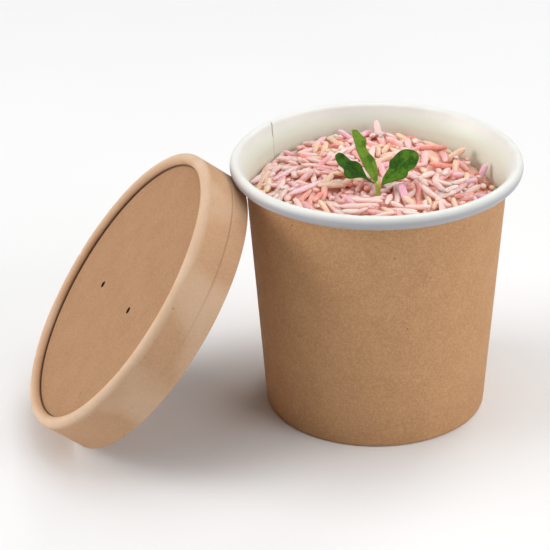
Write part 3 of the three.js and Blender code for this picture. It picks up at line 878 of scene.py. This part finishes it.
def lay_heap(rng):
    """All grains of the heap as (tint name, centre, yaw, tilt, length, width)."""
    heap = Heap()
    names = list(TINTS)
    shares = [TINTS[n][2] for n in names]
    grains = []
    reach = inner_radius(CORE_EDGE) - 1.2
    misses = 0
    while misses < MISSES_TO_END:
        best = None
        for _ in range(PLACES_TRIED):
            radius = reach * math.sqrt(rng.random())
            x, y = polar(radius, rng.uniform(0, 2 * math.pi))
            i, j = heap.cell(np.array((x, y)))
            hollow = heap.goal[i, j] - heap.level[i, j]
            if best is None or hollow > best[0]:
                best = (hollow, x, y)
        _, x, y = best
        length, width = rng.uniform(*GRAIN_LENGTH), rng.uniform(*GRAIN_WIDTH)
        drifting = rng.random() < DRIFT_SHARE
        yaw = drift(x, y) + rng.gauss(0, DRIFT_SPREAD) if drifting else rng.uniform(0, math.pi)
        z, tilt = heap.rest(x, y, yaw, length, width)
        too_high = z + width / 4 > heap_top(x, y) + OVER_TOP
        if too_high or not inside_pot(x, y, z, yaw, tilt, length, width):
            misses += 1
            continue
        misses = 0
        heap.press(x, y, z, yaw, tilt, length, width)
        grains.append((rng.choices(names, shares)[0], Vector((x, y, z)), yaw, tilt, length, width))
    # The deepest hollows left are filled with shorter grains, or else with broken ones
    open_cells = np.hypot(heap.x, heap.y) < reach - 1
    for _ in range(HOLE_TRIES):
        hollow = np.where(open_cells, heap.goal - heap.level, 0)
        i, j = np.unravel_index(int(np.argmax(hollow)), hollow.shape)
        if hollow[i, j] < HOLE_DEPTH:
            break
        x, y = float(heap.x[i, j]), float(heap.y[i, j])
        near = np.hypot(heap.x - x, heap.y - y) < 0.5
        open_cells &= ~near
        for lengths in (SHORT_LENGTH, BROKEN_LENGTH):
            length, width = rng.uniform(*lengths), rng.uniform(*GRAIN_WIDTH)
            choices = []
            for yaw in [drift(x, y) + math.pi * k / 8 for k in range(8)]:
                z, tilt = heap.rest(x, y, yaw, length, width)
                fits = inside_pot(x, y, z, yaw, tilt, length, width)
                if fits and z + width / 4 < heap_top(x, y) + HOLE_OVER_TOP:
                    choices.append((z, yaw, tilt))
            if choices:
                z, yaw, tilt = min(choices)
                heap.press(x, y, z, yaw, tilt, length, width)
                name = rng.choices(names, shares)[0]
                grains.append((name, Vector((x, y, z)), yaw, tilt, length, width))
                break
    for x, y, over, heading, tilt, length, width, name in PLACED:
        z = float(heap_top(x, y)) + over
        grains.append((name, Vector((x, y, z)), math.radians(heading), math.radians(tilt), length, width))
    return grains


def spot_tint(name, place, rng):
    """The tint of a grain, which may be the one common at its place."""
    for x, y, reach, common, share in TINT_SPOTS:
        if math.hypot(place.x - x, place.y - y) < reach and rng.random() < share:
            return common
    return name


def rice_pieces():
    rng = random.Random(HEAP_SEED)
    material = rice_material()
    grains = lay_heap(rng)
    placed = grains[-len(PLACED):]
    grains = [(spot_tint(g[0], g[1], rng), *g[1:]) for g in grains[:-len(PLACED)]] + placed
    first = ["rice"]
    for name, (one, other, _) in TINTS.items():
        points, faces, colors = [], [], []
        for kind, center, yaw, tilt, length, width in grains:
            if kind != name:
                continue
            start = len(points)
            made, turned, shares = grain_shape(center, yaw, tilt, length, width, rng)
            points += made
            faces += [tuple(start + i for i in face) for face in turned]
            swing, shift, value = rng.uniform(-0.5, 0.5), rng.random(), rng.uniform(0.91, 0.99)
            for s in shares:
                blend = clamp(shift + swing * s)
                colors += [min(1, value * (a + (b - a) * blend)) for a, b in zip(one[:3], other[:3])]
                colors.append(1.0)
        piece = add_piece(f"rice_{name}", points, faces, material, "pink_rice", first, sharp=80)
        mark(piece, "tint", colors, "FLOAT_COLOR")
        first = []
    rice_bed(material)


def rice_bed(material):
    """The rice under the loose grains, down to the base, with a lumpy top."""
    floor = BASE_TOP + GAP
    reach = inner_radius(BED_EDGE) - GAP
    profile = [(0.5, floor), (inner_radius(floor) - GAP, floor)]
    profile += [(reach * (1 - k / BED_RINGS), None) for k in range(BED_RINGS)]

    def lumpy(radius, height, angle):
        if height is None:
            x, y = polar(radius, angle)
            bump = BED_LUMP * math.sin(2.1 * x + math.sin(1.3 * y)) * math.sin(1.9 * y + math.sin(1.1 * x))
            height = float(heap_top(x, y)) - BED_DEPTH + bump
        return radius, height

    points, faces = turn_capped(profile, BED_SIDES, lumpy)
    piece = add_piece("rice_bed", points, faces, material, "pink_rice", sharp=80)
    mark(piece, "tint", list(BED_TINT) * len(points), "FLOAT_COLOR")


# Sprig

# Directions of the photograph's view at the hub, in which the leaves' outlines are given
VIEW_RIGHT = Vector((0.98613, -0.16541, -0.01402))
VIEW_UP = Vector((0.08634, 0.43896, 0.89435))
VIEW_AHEAD = (HUB - CAMERA_SPOT).normalized()

# Each leaf: its edges from the hub to the tip as seen, right and up, the way it faces, its fold,
# arch and ripple, its greens and vein colour, and its edge's colour and share
LEAVES = {
    "leaf_middle": {
        "left": ((-0.6, 0.5), (-2.5, 3.1), (-3.7, 4.8), (-5.1, 7.8), (-6.2, 10.2), (-7.0, 12.9),
                 (-7.6, 15.1), (-7.9, 17.1)),
        "right": ((0.0, 0.6), (0.2, 3.4), (-0.1, 5.7), (-0.9, 8.1), (-2.9, 10.4), (-3.5, 12.1),
                  (-3.3, 13.8), (-5.0, 15.7), (-6.3, 17.0)),
        "faces": Vector((-0.05, -0.38, 0.92)), "fold": 0.42, "arch": 0.55, "ripple": 0.3,
        "colors": (rgb(66, 104, 14), rgb(104, 138, 34), rgb(146, 174, 82)),
        "edge": (rgb(140, 92, 58), 0.7),
    },
    "leaf_left": {
        "left": ((-1.0, 0.4), (-3.5, 1.7), (-5.3, 2.3), (-7.3, 2.0), (-9.1, 2.1), (-10.1, 3.4),
                 (-10.2, 4.8), (-11.6, 6.0), (-12.5, 7.6), (-12.8, 9.0), (-12.2, 9.7)),
        "right": ((-0.8, 0.7), (-2.9, 2.3), (-4.0, 4.2), (-4.9, 6.1), (-6.3, 7.2), (-7.9, 7.5),
                  (-9.2, 8.5), (-10.3, 9.5), (-11.5, 9.9)),
        "faces": Vector((-0.05, -0.54, 0.84)), "fold": 0.25, "arch": 0.5, "ripple": 0.4,
        "colors": (rgb(32, 66, 8), rgb(56, 98, 16), rgb(84, 122, 34)),
        "edge": (rgb(40, 66, 24), 0.5),
    },
    "leaf_right": {
        "left": ((1.2, 0.3), (1.7, 2.2), (2.7, 4.0), (3.5, 5.3), (3.7, 7.2), (5.1, 8.7), (6.3, 9.9),
                 (7.6, 10.7), (9.2, 11.0), (10.6, 10.7)),
        "right": ((1.3, 0.0), (3.4, 0.6), (5.9, 1.4), (8.1, 2.0), (9.1, 3.0), (9.5, 4.2), (11.2, 5.3),
                  (12.2, 6.8), (12.6, 8.6), (12.0, 10.0), (11.1, 10.6)),
        "faces": Vector((-0.14, -0.52, 0.84)), "fold": 0.25, "arch": 0.6, "ripple": 0.45,
        "colors": (rgb(38, 80, 8), rgb(80, 122, 24), rgb(114, 148, 54)),
        "edge": (rgb(48, 80, 26), 0.5),
    },
}
LEAF_THICKNESS = 0.26
VEIN_DEPTH = 0.09
LEAF_LONG, LEAF_WIDE = 56, 20


def along_edge(points, share):
    """A point on a smooth line through the points, evenly spaced by their own lengths."""
    points = np.array(points)
    steps = np.linalg.norm(np.diff(points, axis=0), axis=1)
    marks = np.concatenate([[0], np.cumsum(steps)]) / steps.sum()
    k = int(np.clip(np.searchsorted(marks, share) - 1, 0, len(points) - 2))
    span = marks[k + 1] - marks[k]
    t = (share - marks[k]) / span
    slopes = []
    for i in (k, k + 1):
        low, high = max(i - 1, 0), min(i + 1, len(points) - 1)
        slopes.append((points[high] - points[low]) / (marks[high] - marks[low]) * span)
    return ((2 * t ** 3 - 3 * t ** 2 + 1) * points[k] + (t ** 3 - 2 * t ** 2 + t) * slopes[0]
            + (3 * t ** 2 - 2 * t ** 3) * points[k + 1] + (t ** 3 - t ** 2) * slopes[1])


def vein_at(share, v):
    """Strength of the veins at a point of a leaf: the midrib and side veins that run to the edge."""
    midrib = math.exp(-(v / 0.06) ** 2) * (1 - 0.5 * share)
    wave = abs(math.sin(math.pi * (share * 6.5 - abs(v) * 1.6)))
    sides = math.exp(-(wave / 0.14) ** 2) * 0.45 * (1 - abs(v)) ** 0.5
    return max(midrib, sides)


def leaf_piece(name, left, right, faces, fold, arch, ripple, colors, edge):
    """A thin wavy leaf whose edges, seen along the view, follow the two given lines."""
    normal = faces.normalized()
    points, veins, rims, polygons = [], [], [], []
    for side in (0.5, -0.5):
        for i in range(LEAF_LONG + 1):
            share = i / LEAF_LONG
            one, other = along_edge(left, share), along_edge(right, share)
            half = np.linalg.norm(other - one) / 2
            for j in range(LEAF_WIDE + 1):
                v = 2 * j / LEAF_WIDE - 1
                x, y = one + (other - one) * (v + 1) / 2
                flat = VIEW_RIGHT * float(x) + VIEW_UP * float(y)
                ahead = -normal.dot(flat) / normal.dot(VIEW_AHEAD)
                vein = vein_at(share, v)
                lift = (arch * 4 * share * (1 - share) + fold * abs(v) * half - VEIN_DEPTH * vein
                        + ripple * v * v * math.sin(share * 4 * math.pi + 1.3 * v) * min(1, 4 * share))
                thin = 1 - 0.7 * abs(v) ** 8
                spot = HUB + flat + VIEW_AHEAD * (ahead - lift)
                points.append(spot + normal * (side * LEAF_THICKNESS * thin))
                veins.append(vein)
                rims.append(max(0, (abs(v) - 0.8) / 0.2))
    row = LEAF_WIDE + 1
    size = row * (LEAF_LONG + 1)
    for i in range(LEAF_LONG):
        for j in range(LEAF_WIDE):
            a, b = i * row + j, i * row + j + 1
            c, d = b + row, a + row
            polygons.append((a, b, c, d))
            polygons.append((a + size, d + size, c + size, b + size))
    border = list(range(row)) + [i * row + LEAF_WIDE for i in range(1, LEAF_LONG + 1)]
    border += [LEAF_LONG * row + j for j in range(LEAF_WIDE - 1, -1, -1)]
    border += [i * row for i in range(LEAF_LONG - 1, 0, -1)]
    for a, b in zip(border, border[1:] + border[:1]):
        polygons.append((b, a, a + size, b + size))
    piece = add_piece(name, points, polygons, leaf_material(name, *colors, *edge), "green_leaf", sharp=60)
    mark(piece, "vein", veins)
    mark(piece, "rim", rims)


def stem_piece():
    """The stem, which widens to the hub where the leaves fork."""
    g = Graph("stem")
    place = g.place()
    tone = g.mix(g.ramp(g.noise(place, 0.5), 0.4, 0.65), *STEM_TONES)
    tone = g.mix(g.attribute("blush"), tone, STEM_BLUSH)
    g.bump(g.noise(place, 2.0), 0.05)
    material = g.finish(Base_Color=tone, Roughness=0.4, Subsurface_Weight=0.15,
                        Subsurface_Radius=(0.6, 0.7, 0.2), Subsurface_Scale=0.5 * MM)
    rings, sides = 16, 14
    points, blush = [], []
    top = HUB + VIEW_RIGHT * 0.3 + VIEW_UP * 1.0
    for i in range(rings + 1):
        t = i / rings
        middle = STEM_FOOT.lerp(top, t) + Vector((0.15, -0.2, 0)) * (4 * t * (1 - t))
        radius = (0.58 + 0.34 * t ** 3) * (1 if t < 0.9 else 1 - 3.5 * (t - 0.9))
        for k in range(sides):
            angle = 2 * math.pi * k / sides
            spot = middle + Vector((radius * 1.1 * math.cos(angle), radius * math.sin(angle), 0))
            points.append(spot)
            blush.append(max(0, math.cos(angle)) * max(0, (t - 0.55) / 0.45))
    polygons = tube_faces(rings + 1, sides)
    polygons.append(list(range(sides))[::-1])
    polygons.append([rings * sides + k for k in range(sides)])
    piece = add_piece("leaf_stem", points, polygons, material, "green_leaf", ("leaf_sprig",), sharp=60)
    mark(piece, "blush", blush)


def sprig_pieces():
    stem_piece()
    for name, leaf in LEAVES.items():
        leaf_piece(name, **leaf)


# Stage, in metres

FLOOR_HALF = 20.0
FLOOR_DROP = 0.00005
WORLD_STRENGTH = 0.1
LIGHT_TARGET = Vector((0, 0, 0.05))
# Each light: place, size and power
LIGHTS = {
    "top": ((0.3, 0.0, 1.5), 1.6, 13.2),
    "left": ((-1.2, 0.1, 0.55), 0.8, 11.3),
    "high_left": ((-0.6, -0.2, 1.25), 0.6, 1.9),
    "right": ((1.2, -0.3, 0.6), 0.9, 3.2),
    "front_right": ((0.9, -0.9, 0.75), 0.8, 5.2),
    "back_right": ((0.8, 0.9, 1.0), 0.8, 4.4),
}


def camera():
    data = bpy.data.cameras.new("photo_camera")
    data.sensor_width = SENSOR
    data.lens = SENSOR * FOCAL_PIXELS / PHOTO_SIDE
    data.clip_start = 0.01
    data.clip_end = 10
    cam = bpy.data.objects.new("photo_camera", data)
    turned = (Matrix.Rotation(-CAMERA_YAW, 4, "Z") @ Matrix.Rotation(math.pi / 2 + CAMERA_PITCH, 4, "X")
              @ Matrix.Rotation(CAMERA_ROLL, 4, "Z"))
    cam.matrix_world = Matrix.Translation(POT_AXIS + CAMERA_SPOT * MM) @ turned
    link(cam)
    bpy.context.scene.camera = cam


def area_light(name, spot, size, power):
    data = bpy.data.lights.new(name, "AREA")
    data.shape = "DISK"
    data.size = size
    data.energy = power
    lamp = bpy.data.objects.new(name, data)
    lamp.location = spot
    lamp.rotation_euler = (LIGHT_TARGET - Vector(spot)).to_track_quat("-Z", "Y").to_euler()
    link(lamp)


def stage():
    g = Graph("pale_floor")
    tone = g.mix(g.noise(g.place(), 0.01, 2.0), *FLOOR_TONES)
    material = g.finish(Base_Color=tone, Roughness=0.9, Specular_IOR_Level=0.1)
    mesh = bpy.data.meshes.new("floor")
    corners = [(x * FLOOR_HALF, y * FLOOR_HALF, 0) for x, y in ((-1, -1), (1, -1), (1, 1), (-1, 1))]
    mesh.from_pydata(corners, [], [(0, 1, 2, 3)])
    mesh.materials.append(material)
    floor = bpy.data.objects.new("floor", mesh)
    floor.location.z = -FLOOR_DROP
    link(floor)
    world = bpy.data.worlds.new("studio")
    world.use_nodes = True
    background = world.node_tree.nodes["Background"]
    background.inputs["Color"].default_value = (1, 1, 1, 1)
    background.inputs["Strength"].default_value = WORLD_STRENGTH
    bpy.context.scene.world = world
    for name, (spot, size, power) in LIGHTS.items():
        area_light(name, spot, size, power)
    bpy.context.scene.view_settings.view_transform = "Standard"


camera()
pot_pieces()
lid_pieces()
rice_pieces()
sprig_pieces()
stage()
